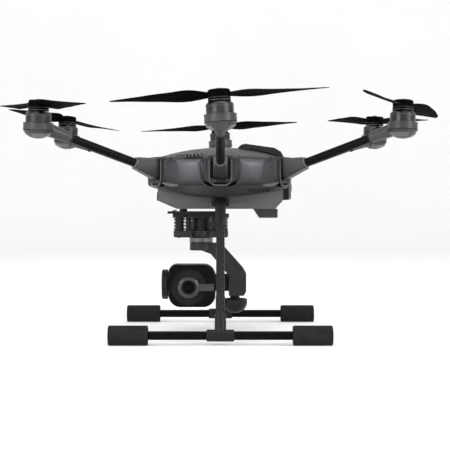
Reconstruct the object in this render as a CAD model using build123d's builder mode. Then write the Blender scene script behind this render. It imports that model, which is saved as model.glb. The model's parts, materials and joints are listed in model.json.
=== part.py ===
from build123d import *
import math
import os

os.makedirs("parts", exist_ok=True)

# Six-arm camera drone. +Z is up and z = 0 is the ground under the feet. The nose points along -Y,
# the drone's left side along +X, and the vertical axis of the airframe is x = y = 0.

# ---------------------------------------------------------------- driving dimensions (mm, degrees)
MOTOR_RADIUS = 240.0  # motor centre to airframe axis
MOTOR_HEIGHT = 249.0  # where the arm's axis meets the motor's axis
DIHEDRAL = 18.0  # arms rise outwards
MOTOR_CANT = 3.5  # each motor leans sideways about its own arm
PROP_DIAMETER = 228.0

BODY_RADIUS = 88.0
PARTING_Z = 187.0  # joint between the upper and lower shells
DOME_TOP = 230.0
SHELL_WALL = 2.2
BELLY_Z = 154.0
BELLY_HALF_WIDTH = 40.0

TUBE_RADIUS = 5.0  # carbon tubes of arms, legs and skids
TUBE_WALL = 1.0

SOCKET_FACE = 84.0  # back wall of an arm's socket
SOCKET_FRONT = 90.0
SOCKET_HALF_WIDTH = 11.8
SOCKET_BOTTOM = 183.0
SOCKET_TOP = 214.2
SOCKET_RIM = 2.4
SOCKET_CORNER = 7.0
FOLD_RADIUS = 88.0  # arm fold pin
FOLD_Z = 187.0
PIN_RADIUS = 1.5
KNUCKLE_RADIUS = 3.2
KNUCKLE_HALF_WIDTH = 5.0
ROOT_END = 117.0  # outer face of an arm's root block
RUNNING_GAP = 0.3

LEG_HINGE_X = 65.2
LEG_HINGE_Z = 166.0
LEG_PIN_RADIUS = 2.0
LEG_HALF_WIDTH = 6.5  # of the socket at the hinge, along the pin
SKID_X = 131.6
SKID_Z = 11.0
SKID_LENGTH = 254.0
FOOT_LENGTH = 45.0
FOOT_RADIUS = 11.4

PAN_Y = -24.0  # gimbal pan axis
CAMERA_Y = -35.0
CAMERA_Z = 60.0
CAMERA_WIDTH = 57.8
CAMERA_HEIGHT = 52.0
CAMERA_DEPTH = 42.0
LENS_Y = -39.0
LENS_Z = 57.5

# name, heading from +X, side the motor leans to, heading of the parked blades
ARMS = (
    ("left", 0.0, 1, 90.0),
    ("rear_left", 60.0, -1, 148.0),
    ("rear_right", 120.0, 1, 30.0),
    ("right", 180.0, -1, 90.0),
    ("front_right", 240.0, 1, 150.0),
    ("front_left", 300.0, -1, 32.0),
)
ARM_ANGLES = tuple(angle for name, angle, lean, parked in ARMS)
SIDES = (("left", 1), ("right", -1))

SLOPE = math.tan(math.radians(DIHEDRAL))


# ---------------------------------------------------------------- planes and placing
def heading(angle):
    """Unit vector that points outwards along an arm, level."""
    return Vector(math.cos(math.radians(angle)), math.sin(math.radians(angle)), 0)


def arm_side(angle):
    """Upright plane through an arm: local x is the radius, local y the height."""
    out = heading(angle)
    return Plane(origin=(0, 0, 0), x_dir=out, z_dir=(out.Y, -out.X, 0))


def facing(angle, radius):
    """Upright plane that looks outwards at a radius: local x runs across, local y is the height."""
    out = heading(angle)
    return Plane(origin=out * radius, x_dir=(-out.Y, out.X, 0), z_dir=out)


def tube_height(radius):
    return MOTOR_HEIGHT - (MOTOR_RADIUS - radius) * SLOPE


def across_arm(angle, radius):
    """Plane square to an arm's sloping axis, local y upwards."""
    out = heading(angle)
    axis = Vector(out.X, out.Y, SLOPE).normalized()
    centre = Vector(out.X * radius, out.Y * radius, tube_height(radius))
    return Plane(origin=centre, x_dir=(-out.Y, out.X, 0), z_dir=axis)


def rotor_plane(angle, lean):
    """Plane at the motor's centre, square to its leaning axis, local x outwards."""
    out = heading(angle)
    cant = math.radians(lean * MOTOR_CANT)
    axis = Vector(out.Y * math.sin(cant), -out.X * math.sin(cant), math.cos(cant))
    centre = Vector(out.X * MOTOR_RADIUS, out.Y * MOTOR_RADIUS, MOTOR_HEIGHT)
    return Plane(origin=centre, x_dir=out, z_dir=axis)


def rotor_section(rotor):
    """Plane that holds a rotor's axis: local x is the radius, local y the height on the axis."""
    return Plane(origin=rotor.origin, x_dir=rotor.x_dir, z_dir=-rotor.y_dir)


def rotor_axis(rotor):
    return Axis(rotor.origin, rotor.z_dir)


def leg_x(z):
    """Centre line of the left leg, which leans outwards as it goes down."""
    return LEG_HINGE_X + (LEG_HINGE_Z - z) * (SKID_X - LEG_HINGE_X) / (LEG_HINGE_Z - SKID_Z)


def leg_plane(z, sign):
    """Plane square to a leg at a height, normal pointing down the leg."""
    down = Vector(sign * (SKID_X - LEG_HINGE_X), 0, SKID_Z - LEG_HINGE_Z).normalized()
    return Plane(origin=(sign * leg_x(z), 0, z), x_dir=(0, 1, 0), z_dir=down)


# ---------------------------------------------------------------- upper shell
DOME_EDGE = (80.0, 216.5)
VENT_COUNT = 8
VENT_SPREAD = 26.0  # degrees
VENT_LENGTH = 13.0
VENT_WIDTH = 2.0
HOUSING_WIDTH = 45.0  # bevelled housing around each arm's socket, rounded like the socket
HOUSING_HEIGHT = 36.5
HOUSING_MIDDLE = 198.75
HOUSING_CORNER = 13.0
GROOVE_ACROSS = SOCKET_HALF_WIDTH + SOCKET_RIM + 1.9
PANEL_ANGLES = (25.5, 90.0, 154.5, 205.5, 270.0, 334.5)  # raised panels between the housings
PANEL_WIDTH = 25.0
PANEL_TOP = 211.5
PANEL_FACE = 88.7
BATTERY_HALF_WIDTH = 27.0
BATTERY_BOTTOM = 165.5
BATTERY_TOP = 184.2
CAP_BOTTOM = 165.0
CAP_TOP = 195.0
CAP_START = 76.0
CAP_ROUNDING = 3.5
BAY_GAP = 0.5


def dome_outline():
    """Half section of the dome's outside, down to the parting plane."""
    crown = ThreePointArc((0, DOME_TOP), (41, 226.5), DOME_EDGE)
    shoulder = ThreePointArc(DOME_EDGE, (86, 211.5), (BODY_RADIUS, 204))
    Polyline(shoulder @ 1, (BODY_RADIUS, PARTING_Z), (0, PARTING_Z), crown @ 0)


def housing_outline(sketch):
    """Arm housing seen from outside, rounded at the bottom."""
    with Locations((0, HOUSING_MIDDLE)):
        Rectangle(HOUSING_WIDTH, HOUSING_HEIGHT)
    fillet(sketch.vertices().group_by(Axis.Y)[0], radius=HOUSING_CORNER)


def socket_outline(sketch, margin):
    """Arm socket seen from outside, rounded at the bottom."""
    height = SOCKET_TOP - SOCKET_BOTTOM + 2 * margin
    with Locations((0, (SOCKET_BOTTOM + SOCKET_TOP) / 2)):
        Rectangle(2 * (SOCKET_HALF_WIDTH + margin), height)
    fillet(sketch.vertices().group_by(Axis.Y)[0], radius=SOCKET_CORNER + margin)


with BuildPart() as upper_shell:
    with BuildSketch(Plane.XZ):
        with BuildLine():
            dome_outline()
        make_face()
    revolve(axis=Axis.Z)
    inside = BODY_RADIUS - SHELL_WALL
    with BuildSketch(Plane.XZ):
        with BuildLine():
            ceiling = ThreePointArc((0, DOME_TOP - SHELL_WALL), (41, 224.3), (78.5, 214.5))
            corner = ThreePointArc(ceiling @ 1, (84.2, 210.2), (inside, 204))
            Polyline(corner @ 1, (inside, PARTING_Z), (0, PARTING_Z), ceiling @ 0)
        make_face()
    revolve(axis=Axis.Z, mode=Mode.SUBTRACT)
    for angle in ARM_ANGLES:
        # Bevelled housing, then the rim of the socket that stands proud of it.
        with BuildSketch(facing(angle, BODY_RADIUS - 8)) as housing:
            housing_outline(housing)
        extrude(amount=8.5, taper=22)
        with BuildSketch(facing(angle, SOCKET_FACE - 2)) as rim:
            socket_outline(rim, SOCKET_RIM)
        extrude(amount=SOCKET_FRONT - SOCKET_FACE + 2)
    for angle in PANEL_ANGLES:
        with BuildSketch(facing(angle, BODY_RADIUS - 3)):
            with Locations((0, (PANEL_TOP + PARTING_Z) / 2)):
                Rectangle(PANEL_WIDTH, PANEL_TOP - PARTING_Z)
        extrude(amount=PANEL_FACE - BODY_RADIUS + 3, taper=24)
    for angle in ARM_ANGLES:
        with BuildSketch(facing(angle, SOCKET_FACE)) as mouth:
            socket_outline(mouth, 0)
        extrude(amount=20, mode=Mode.SUBTRACT)
        # A shallow groove on each side of the rim.
        with BuildSketch(facing(angle, BODY_RADIUS - 0.6)):
            for side in (-1, 1):
                with Locations((side * GROOVE_ACROSS, HOUSING_MIDDLE + 4)):
                    Rectangle(1.4, HOUSING_HEIGHT - 14)
        extrude(amount=3, mode=Mode.SUBTRACT)
    # Two lugs in each socket carry the fold pin.
    lug_inner = KNUCKLE_HALF_WIDTH + RUNNING_GAP
    for angle in ARM_ANGLES:
        for side in (-1, 1):
            with BuildSketch(arm_side(angle).offset(side * (SOCKET_HALF_WIDTH + lug_inner) / 2)):
                with Locations((FOLD_RADIUS, FOLD_Z)):
                    Circle(KNUCKLE_RADIUS)
                with Locations(((SOCKET_FACE + FOLD_RADIUS) / 2, FOLD_Z)):
                    Rectangle(FOLD_RADIUS - SOCKET_FACE, 2 * KNUCKLE_RADIUS)
            extrude(amount=(SOCKET_HALF_WIDTH - lug_inner) / 2, both=True)
        with BuildSketch(arm_side(angle)):
            with Locations((FOLD_RADIUS, FOLD_Z)):
                Circle(PIN_RADIUS)
        extrude(amount=SOCKET_HALF_WIDTH, both=True, mode=Mode.SUBTRACT)
    # Cooling vents: slanted slots over both shoulders, ahead of the side arms.
    for centre in (-30.0, 210.0):
        with BuildSketch(Plane.XY.offset(205)):
            with PolarLocations(75, VENT_COUNT, centre - VENT_SPREAD / 2, VENT_SPREAD, endpoint=True):
                SlotOverall(VENT_LENGTH, VENT_WIDTH, rotation=30)
        extrude(amount=30, mode=Mode.SUBTRACT)
    # Battery bay mouth at the back.
    with BuildSketch(Plane.XY.offset(CAP_BOTTOM - BAY_GAP)):
        with Locations((0, 84)):
            Rectangle(2 * (BATTERY_HALF_WIDTH + BAY_GAP), 40)
    extrude(amount=CAP_TOP - CAP_BOTTOM + 2 * BAY_GAP, mode=Mode.SUBTRACT)
upper_shell.part.label = "upper_shell"
export_step(upper_shell.part, "parts/upper_shell.step")


# ---------------------------------------------------------------- lower shell and belly
BELLY_NOSE = -76.0
BELLY_REAR = 76.0
KEEL_Z = 167.5
KEEL_END_Z = 181.5
POCKET_TOP = 174.5
POCKET_HALF_WIDTH = 10.5
POCKET_X = 62.0
POCKET_LENGTH = 44.0


def belly_outline():
    """Side view of the belly: sloping nose, flat floor and rising tail."""
    Polyline(
        (BELLY_NOSE, PARTING_Z),
        (BELLY_NOSE, 164),
        (-53, BELLY_Z),
        (67, BELLY_Z),
        (BELLY_REAR, 165),
        (BELLY_REAR, PARTING_Z),
        close=True,
    )


def keel_outline(half_length, lowest):
    """Side view of the hull under the parting plane: an arc that is lowest amidships."""
    keel = ThreePointArc((-half_length, KEEL_END_Z), (0, lowest), (half_length, KEEL_END_Z))
    Polyline(keel @ 1, (half_length, PARTING_Z), (-half_length, PARTING_Z), keel @ 0)


# The hollow of the lower shell, used only to cut it out.
with BuildPart() as hull_space:
    with BuildSketch(Plane.YZ):
        with BuildLine():
            keel_outline(BODY_RADIUS - 5, KEEL_Z + SHELL_WALL + 0.6)
        make_face()
    extrude(amount=BODY_RADIUS, both=True)
    with BuildSketch(Plane.XY.offset(KEEL_Z)):
        Circle(BODY_RADIUS - 4)
    extrude(amount=30, mode=Mode.INTERSECT)

with BuildPart() as lower_shell:
    with BuildSketch(Plane.YZ):
        with BuildLine():
            keel_outline(BODY_RADIUS, KEEL_Z)
        make_face()
    extrude(amount=BODY_RADIUS, both=True)
    with BuildSketch(Plane.XY.offset(KEEL_Z - 5)):
        Circle(BODY_RADIUS)
    extrude(amount=30, mode=Mode.INTERSECT)
    lower_edge = lower_shell.edges().filter_by(
        lambda edge: edge.geom_type != GeomType.LINE and edge.center().Z < PARTING_Z - 1
    )
    fillet(lower_edge, radius=4)
    with BuildSketch(Plane.YZ):
        with BuildLine():
            belly_outline()
        make_face()
    extrude(amount=BELLY_HALF_WIDTH, both=True)
    bilge = lower_shell.edges().filter_by(Axis.Y).group_by(Axis.Z)[0]
    chamfer(bilge, length=7)
    # Inside: bowl and belly are one open tray.
    add(hull_space.part, mode=Mode.SUBTRACT)
    with BuildSketch(Plane.YZ):
        with BuildLine():
            belly_outline()
        make_face()
        offset(amount=-SHELL_WALL, kind=Kind.INTERSECTION)
        with Locations((0, PARTING_Z)):
            Rectangle(140, 10)
    extrude(amount=BELLY_HALF_WIDTH - 5.5, both=True, mode=Mode.SUBTRACT)
    # Cross bars for the main board.
    for y in (-45, 30):
        reach = math.sqrt((BODY_RADIUS - 1.2) ** 2 - (abs(y) + 3) ** 2)
        with BuildSketch(Plane.XY.offset(PARTING_Z - 2.5)):
            with Locations((0, y)):
                Rectangle(2 * reach, 6)
        extrude(amount=2.5)
    # Ledges that the battery slides on.
    with BuildSketch(Plane.XY.offset(BATTERY_BOTTOM - 3.5)):
        for side in (-1, 1):
            with Locations((side * 29.5, 18)):
                Rectangle(13, 114)
    extrude(amount=3.5)
    # Lined pockets that take the leg mounts.
    for lining, outline_mode in ((2, Mode.ADD), (0, Mode.SUBTRACT)):
        with BuildSketch(Plane.XY.offset(POCKET_TOP + lining)):
            for side in (-1, 1):
                with Locations((side * POCKET_X, 0)):
                    Rectangle(POCKET_LENGTH + 2 * lining, 2 * (POCKET_HALF_WIDTH + lining))
        extrude(amount=-20 if lining == 0 else -6, mode=outline_mode)
    # Room for the arm sockets of the upper shell, and the mouth of the battery bay.
    for angle in ARM_ANGLES:
        with BuildSketch(facing(angle, BODY_RADIUS - 8)) as housing:
            housing_outline(housing)
        extrude(amount=20, mode=Mode.SUBTRACT)
    with BuildSketch(Plane.XY.offset(CAP_BOTTOM - BAY_GAP)):
        with Locations((0, 84)):
            Rectangle(2 * (BATTERY_HALF_WIDTH + BAY_GAP), 26)
    extrude(amount=40, mode=Mode.SUBTRACT)
lower_shell.part.label = "lower_shell"
export_step(lower_shell.part, "parts/lower_shell.step")


# ---------------------------------------------------------------- pieces of the airframe
BOARD_THICKNESS = 1.6

with BuildPart() as main_board:
    with BuildSketch(Plane.XY.offset(PARTING_Z)):
        with Locations((0, -8)):
            RectangleRounded(64, 96, 6)
    extrude(amount=BOARD_THICKNESS)
    board_top = Plane.XY.offset(PARTING_Z + BOARD_THICKNESS)
    with BuildSketch(board_top):
        with Locations((0, -20)):
            Rectangle(16, 16)
        with Locations((-18, 12)):
            Rectangle(12, 20)
        with GridLocations(48, 80, 2, 2):
            with Locations((0, -8)):
                Circle(2.5)
    extrude(amount=3)
main_board.part.label = "main_board"
export_step(main_board.part, "parts/main_board.step")

HUMP_START = 18.0
HUMP_END = 78.0
HUMP_HALF_WIDTH = 23.0
BUTTON_RADIUS = 4.5
BUTTON_Y = 58.0
BUTTON_FLOOR = 224.0
BUTTON_TRAVEL = 0.6

with BuildPart() as rear_hump:
    with BuildSketch(Plane.YZ):
        with BuildLine():
            Polyline(
                (HUMP_START, 225),
                (HUMP_START + 7, 232.5),
                (HUMP_START + 12, 234),
                (HUMP_END - 12, 229),
                (HUMP_END - 4, 224.5),
                (HUMP_END, 218),
                (HUMP_END, 212),
                (HUMP_START, 212),
                close=True,
            )
        make_face()
    extrude(amount=HUMP_HALF_WIDTH, both=True)
    fillet(rear_hump.edges().filter_by(Axis.Z), radius=6)
    with BuildSketch(Plane.XZ):
        with BuildLine():
            dome_outline()
        make_face()
    revolve(axis=Axis.Z, mode=Mode.SUBTRACT)
    with BuildSketch(Plane.XY.offset(BUTTON_FLOOR)):
        with Locations((0, BUTTON_Y)):
            Circle(BUTTON_RADIUS + RUNNING_GAP)
    extrude(amount=20, mode=Mode.SUBTRACT)
rear_hump.part.label = "rear_hump"
export_step(rear_hump.part, "parts/rear_hump.step")

with BuildPart() as power_button:
    with BuildSketch(Plane.XY.offset(BUTTON_FLOOR + BUTTON_TRAVEL)):
        with Locations((0, BUTTON_Y)):
            Circle(BUTTON_RADIUS)
    extrude(amount=6.2)
    fillet(power_button.edges().group_by(Axis.Z)[-1], radius=0.8)
power_button.part.label = "power_button"
export_step(power_button.part, "parts/power_button.step")

RELEASE_WIDTH = 18.0
RELEASE_HEIGHT = 9.0
RELEASE_Z = 180.0

with BuildPart() as battery:
    with BuildSketch(Plane.XY.offset(BATTERY_BOTTOM)):
        with Locations((0, (CAP_START - 32) / 2)):
            Rectangle(2 * BATTERY_HALF_WIDTH - 1, CAP_START + 32)
    extrude(amount=BATTERY_TOP - BATTERY_BOTTOM)
    with BuildSketch(Plane.XY.offset(CAP_BOTTOM)):
        corner_y = math.sqrt(BODY_RADIUS**2 - BATTERY_HALF_WIDTH**2)
        with BuildLine():
            tail = ThreePointArc(
                (-BATTERY_HALF_WIDTH, corner_y), (0, BODY_RADIUS), (BATTERY_HALF_WIDTH, corner_y)
            )
            Polyline(
                tail @ 1,
                (BATTERY_HALF_WIDTH, CAP_START - 1),
                (-BATTERY_HALF_WIDTH, CAP_START - 1),
                tail @ 0,
            )
        make_face()
    extrude(amount=CAP_TOP - CAP_BOTTOM)
    cap_rims = battery.faces().sort_by(Axis.Y)[-1].edges().filter_by(GeomType.CIRCLE)
    fillet(cap_rims, radius=CAP_ROUNDING)
    # Pocket for the release button in the end cap.
    pocket = Plane(origin=(0, BODY_RADIUS - 7, RELEASE_Z), x_dir=(-1, 0, 0), z_dir=(0, 1, 0))
    with BuildSketch(pocket):
        Rectangle(RELEASE_WIDTH + 2 * RUNNING_GAP, RELEASE_HEIGHT + 2 * RUNNING_GAP)
    extrude(amount=12, mode=Mode.SUBTRACT)
battery.part.label = "battery"
export_step(battery.part, "parts/battery.step")

with BuildPart() as battery_release:
    with BuildSketch(pocket.offset(7 - 4.4)):
        RectangleRounded(RELEASE_WIDTH, RELEASE_HEIGHT, 2)
    extrude(amount=4.8)
    fillet(battery_release.faces().sort_by(Axis.Y)[-1].edges(), radius=0.8)
battery_release.part.label = "battery_release"
export_step(battery_release.part, "parts/battery_release.step")

with BuildPart() as status_light:
    with BuildSketch(Plane.YZ):
        with BuildLine():
            Polyline((40.6, BELLY_Z), (48, 142.8), (70.6, 142.8), (70.6, BELLY_Z), close=True)
        make_face()
    extrude(amount=14, both=True)
    fillet(status_light.faces().sort_by(Axis.Z)[0].edges(), radius=2)
    # The belly floor ends before the housing does, and its tail rises above it.
    with BuildSketch(Plane.XY.offset(BELLY_Z)):
        Rectangle(200, 200)
    extrude(amount=10, mode=Mode.SUBTRACT)
status_light.part.label = "status_light"
export_step(status_light.part, "parts/status_light.step")

SONAR_X = 13.0
SONAR_RADIUS = 5.4

with BuildPart() as sonar_sensors:
    nose = Plane(origin=(0, BELLY_NOSE, 169.5), x_dir=(1, 0, 0), z_dir=(0, -1, 0))
    eyes = GridLocations(2 * SONAR_X, 0, 2, 1)
    with BuildSketch(nose):
        with eyes:
            Circle(SONAR_RADIUS)
    extrude(amount=2.2)
    with BuildSketch(nose.offset(0.8)):
        with eyes:
            Circle(SONAR_RADIUS - 1)
    extrude(amount=10, mode=Mode.SUBTRACT)
    with BuildSketch(nose.offset(0.8)):
        with eyes:
            Circle(SONAR_RADIUS - 2)
    extrude(amount=0.8)
sonar_sensors.part.label = "sonar_sensors"
export_step(sonar_sensors.part, "parts/sonar_sensors.step")

with BuildPart() as hinge_pins:
    for angle in ARM_ANGLES:
        with BuildSketch(arm_side(angle)):
            with Locations((FOLD_RADIUS, FOLD_Z)):
                Circle(PIN_RADIUS)
        extrude(amount=SOCKET_HALF_WIDTH, both=True)
    for name, sign in SIDES:
        with BuildSketch(Plane.XZ):
            with Locations((sign * LEG_HINGE_X, LEG_HINGE_Z)):
                Circle(LEG_PIN_RADIUS)
        extrude(amount=POCKET_HALF_WIDTH, both=True)
hinge_pins.part.label = "hinge_pins"
export_step(hinge_pins.part, "parts/hinge_pins.step")


# ---------------------------------------------------------------- six arms with their rotors
ROOT_HALF_WIDTH = 8.4
ROOT_INNER = SOCKET_FACE + RUNNING_GAP
ROOT_END_HALF = 7.0
TUBE_START = 100.0
NECK_START = 201.0
TUBE_END = 222.0
POD_RADIUS = 17.0
POD_TOP = 3.7  # heights on the motor's axis, from the arm's axis
POD_EDGE = -5.0
POD_BOTTOM = -14.5
BELL_RADIUS = 14.5
BELL_TOP = 16.0
BELL_WALL = 1.8
STATOR_RADIUS = 11.8
SHAFT_RADIUS = 2.0
HUB_RADIUS = 11.75
HUB_BOTTOM = 16.6
HUB_TOP = 29.5
BLADE_HEIGHT = 24.0
# distance from the hub, chord, thickness, pitch and sweep of the blade's sections
BLADE_SECTIONS = (
    (7.0, 12.0, 3.6, 20.0, 0.0),
    (20.0, 17.0, 3.0, 26.0, 0.5),
    (38.0, 25.0, 2.4, 23.0, 1.5),
    (60.0, 22.5, 2.0, 17.0, 1.0),
    (85.0, 16.0, 1.6, 12.0, -0.5),
    (104.0, 9.0, 1.2, 9.0, -2.5),
    (PROP_DIAMETER / 2, 2.6, 0.8, 8.0, -4.5),
)


def blade_plane(rotor, azimuth, station):
    """Plane across a blade: local y runs along the chord and local x downwards."""
    turned = rotor.location * Location((0, 0, 0), (0, 0, azimuth))
    return Plane(turned * Location((station, 0, BLADE_HEIGHT), (0, 90, 0)))


for name, angle, lean, parked in ARMS:
    side_view = arm_side(angle)
    rotor = rotor_plane(angle, lean)
    rotor_half = rotor_section(rotor)

    with BuildPart() as arm_root:
        end = Vector(ROOT_END, tube_height(ROOT_END))
        rise = Vector(-math.sin(math.radians(DIHEDRAL)), math.cos(math.radians(DIHEDRAL)))
        with BuildSketch(side_view):
            with BuildLine():
                Polyline(
                    (ROOT_INNER, 191.5),
                    (ROOT_INNER, 213),
                    (98, 215.2),
                    end + rise * ROOT_END_HALF,
                    end - rise * ROOT_END_HALF,
                    (95, 190.5),
                    close=True,
                )
            make_face()
        extrude(amount=ROOT_HALF_WIDTH, both=True)
        sideways = Axis((0, 0, 0), side_view.z_dir)
        fillet(arm_root.faces().sort_by(sideways)[-1].edges(), radius=2.6)
        fillet(arm_root.faces().sort_by(sideways)[0].edges(), radius=2.6)
        with BuildSketch(side_view.offset(ROOT_HALF_WIDTH - 0.7), side_view.offset(-ROOT_HALF_WIDTH)):
            with BuildLine():
                Polyline((80, 209.0), (111, 212.4), (111, 213.1), (80, 209.7), close=True)
            make_face()
        extrude(amount=0.7, mode=Mode.SUBTRACT)
        with BuildSketch(side_view):
            with Locations((FOLD_RADIUS, FOLD_Z)):
                Circle(KNUCKLE_RADIUS)
            with Locations((FOLD_RADIUS, FOLD_Z + 3)):
                Rectangle(2 * KNUCKLE_RADIUS, 6)
            with Locations((FOLD_RADIUS, FOLD_Z)):
                Circle(PIN_RADIUS + 0.1, mode=Mode.SUBTRACT)
        extrude(amount=KNUCKLE_HALF_WIDTH, both=True)
        with BuildSketch(across_arm(angle, TUBE_START)):
            Circle(TUBE_RADIUS)
        extrude(amount=40, mode=Mode.SUBTRACT)
    arm_root.part.label = f"arm_root_{name}"
    export_step(arm_root.part, f"parts/arm_root_{name}.step")

    with BuildPart() as arm_tube:
        with BuildSketch(across_arm(angle, TUBE_START)):
            Circle(TUBE_RADIUS)
            Circle(TUBE_RADIUS - TUBE_WALL, mode=Mode.SUBTRACT)
        extrude(amount=(TUBE_END - TUBE_START) / math.cos(math.radians(DIHEDRAL)))
    arm_tube.part.label = f"arm_tube_{name}"
    export_step(arm_tube.part, f"parts/arm_tube_{name}.step")

    with BuildPart() as motor_pod:
        with BuildSketch(rotor_half):
            with BuildLine():
                dome = ThreePointArc((0, POD_BOTTOM), (11.5, POD_BOTTOM + 3.2), (POD_RADIUS, POD_EDGE))
                Polyline(dome @ 1, (POD_RADIUS, POD_TOP), (0, POD_TOP), dome @ 0)
            make_face()
        revolve(axis=rotor_axis(rotor))
        with BuildSketch(across_arm(angle, NECK_START)):
            Circle(TUBE_RADIUS + 1)
        with BuildSketch(across_arm(angle, MOTOR_RADIUS - 12)):
            Circle(8.0)
        loft()
        with BuildSketch(across_arm(angle, NECK_START - 1)):
            Circle(TUBE_RADIUS)
        bore = (TUBE_END - NECK_START + 1) / math.cos(math.radians(DIHEDRAL))
        extrude(amount=bore, mode=Mode.SUBTRACT)
        with BuildSketch(rotor.offset(POD_TOP)):
            Circle(STATOR_RADIUS)
        extrude(amount=8)
        with BuildSketch(rotor.offset(POD_TOP + 8)):
            Circle(SHAFT_RADIUS + 0.1)
        extrude(amount=-9, mode=Mode.SUBTRACT)
    motor_pod.part.label = f"motor_pod_{name}"
    export_step(motor_pod.part, f"parts/motor_pod_{name}.step")

    with BuildPart() as motor_bell:
        with BuildSketch(rotor.offset(POD_TOP + RUNNING_GAP)):
            Circle(BELL_RADIUS)
        extrude(amount=BELL_TOP - POD_TOP - RUNNING_GAP)
        chamfer(motor_bell.edges().group_by(rotor_axis(rotor))[-1], length=2)
        with BuildSketch(rotor.offset(POD_TOP)):
            Circle(BELL_RADIUS - BELL_WALL)
        extrude(amount=9.3, mode=Mode.SUBTRACT)
        with BuildSketch(rotor.offset(POD_TOP)):
            Circle(SHAFT_RADIUS)
        extrude(amount=BELL_TOP - POD_TOP)
        with BuildSketch(rotor.offset(POD_TOP + 9)):
            with PolarLocations(8.2, 6):
                Circle(2.2)
        extrude(amount=10, mode=Mode.SUBTRACT)
    motor_bell.part.label = f"motor_bell_{name}"
    export_step(motor_bell.part, f"parts/motor_bell_{name}.step")

    with BuildPart() as propeller:
        with BuildSketch(rotor.offset(BELL_TOP)):
            Circle(6)
        extrude(amount=HUB_BOTTOM - BELL_TOP)
        with BuildSketch(rotor.offset(HUB_BOTTOM)):
            Circle(HUB_RADIUS)
        extrude(amount=HUB_TOP - HUB_BOTTOM)
        fillet(propeller.edges().group_by(rotor_axis(rotor))[-1], radius=2.5)
        for half_turn in (0, 180):
            for station, chord, thickness, pitch, sweep_back in BLADE_SECTIONS[::-lean]:
                with BuildSketch(blade_plane(rotor, parked - angle + half_turn, station)):
                    with Locations((0, lean * sweep_back)):
                        Ellipse(chord / 2, thickness / 2, rotation=90 + lean * pitch)
            loft()
    propeller.part.label = f"propeller_{name}"
    export_step(propeller.part, f"parts/propeller_{name}.step")


# ---------------------------------------------------------------- retractable legs
LEG_TUBE_TOP = 150.0
LEG_TUBE_END = 20.0
LEG_STRETCH = math.hypot(SKID_X - LEG_HINGE_X, LEG_HINGE_Z - SKID_Z) / (LEG_HINGE_Z - SKID_Z)
COLLAR_TOP = 34.0


def leg_side(sign):
    """Upright plane through a leg: local x points outwards and local y up."""
    return Plane(origin=(0, 0, 0), x_dir=(sign, 0, 0), z_dir=(0, -sign, 0))


with BuildPart() as leg_mounts:
    for name, sign in SIDES:
        with BuildSketch(leg_side(sign)):
            with BuildLine():
                Polyline(
                    (BELLY_HALF_WIDTH, POCKET_TOP),
                    (BELLY_HALF_WIDTH, 157),
                    (60, 157),
                    (62.5, 158.5),
                    (70, 158.5),
                    (79, 168),
                    (79, POCKET_TOP),
                    close=True,
                )
            make_face()
        extrude(amount=POCKET_HALF_WIDTH, both=True)
    for name, sign in SIDES:
        with BuildSketch(leg_side(sign)):
            with Locations((74, 155)):
                Rectangle(40, 60)
        extrude(amount=LEG_HALF_WIDTH + RUNNING_GAP, both=True, mode=Mode.SUBTRACT)
        with BuildSketch(leg_side(sign)):
            with Locations((LEG_HINGE_X, LEG_HINGE_Z)):
                Circle(LEG_PIN_RADIUS)
        extrude(amount=20, both=True, mode=Mode.SUBTRACT)
leg_mounts.part.label = "leg_mounts"
export_step(leg_mounts.part, "parts/leg_mounts.step")

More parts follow.
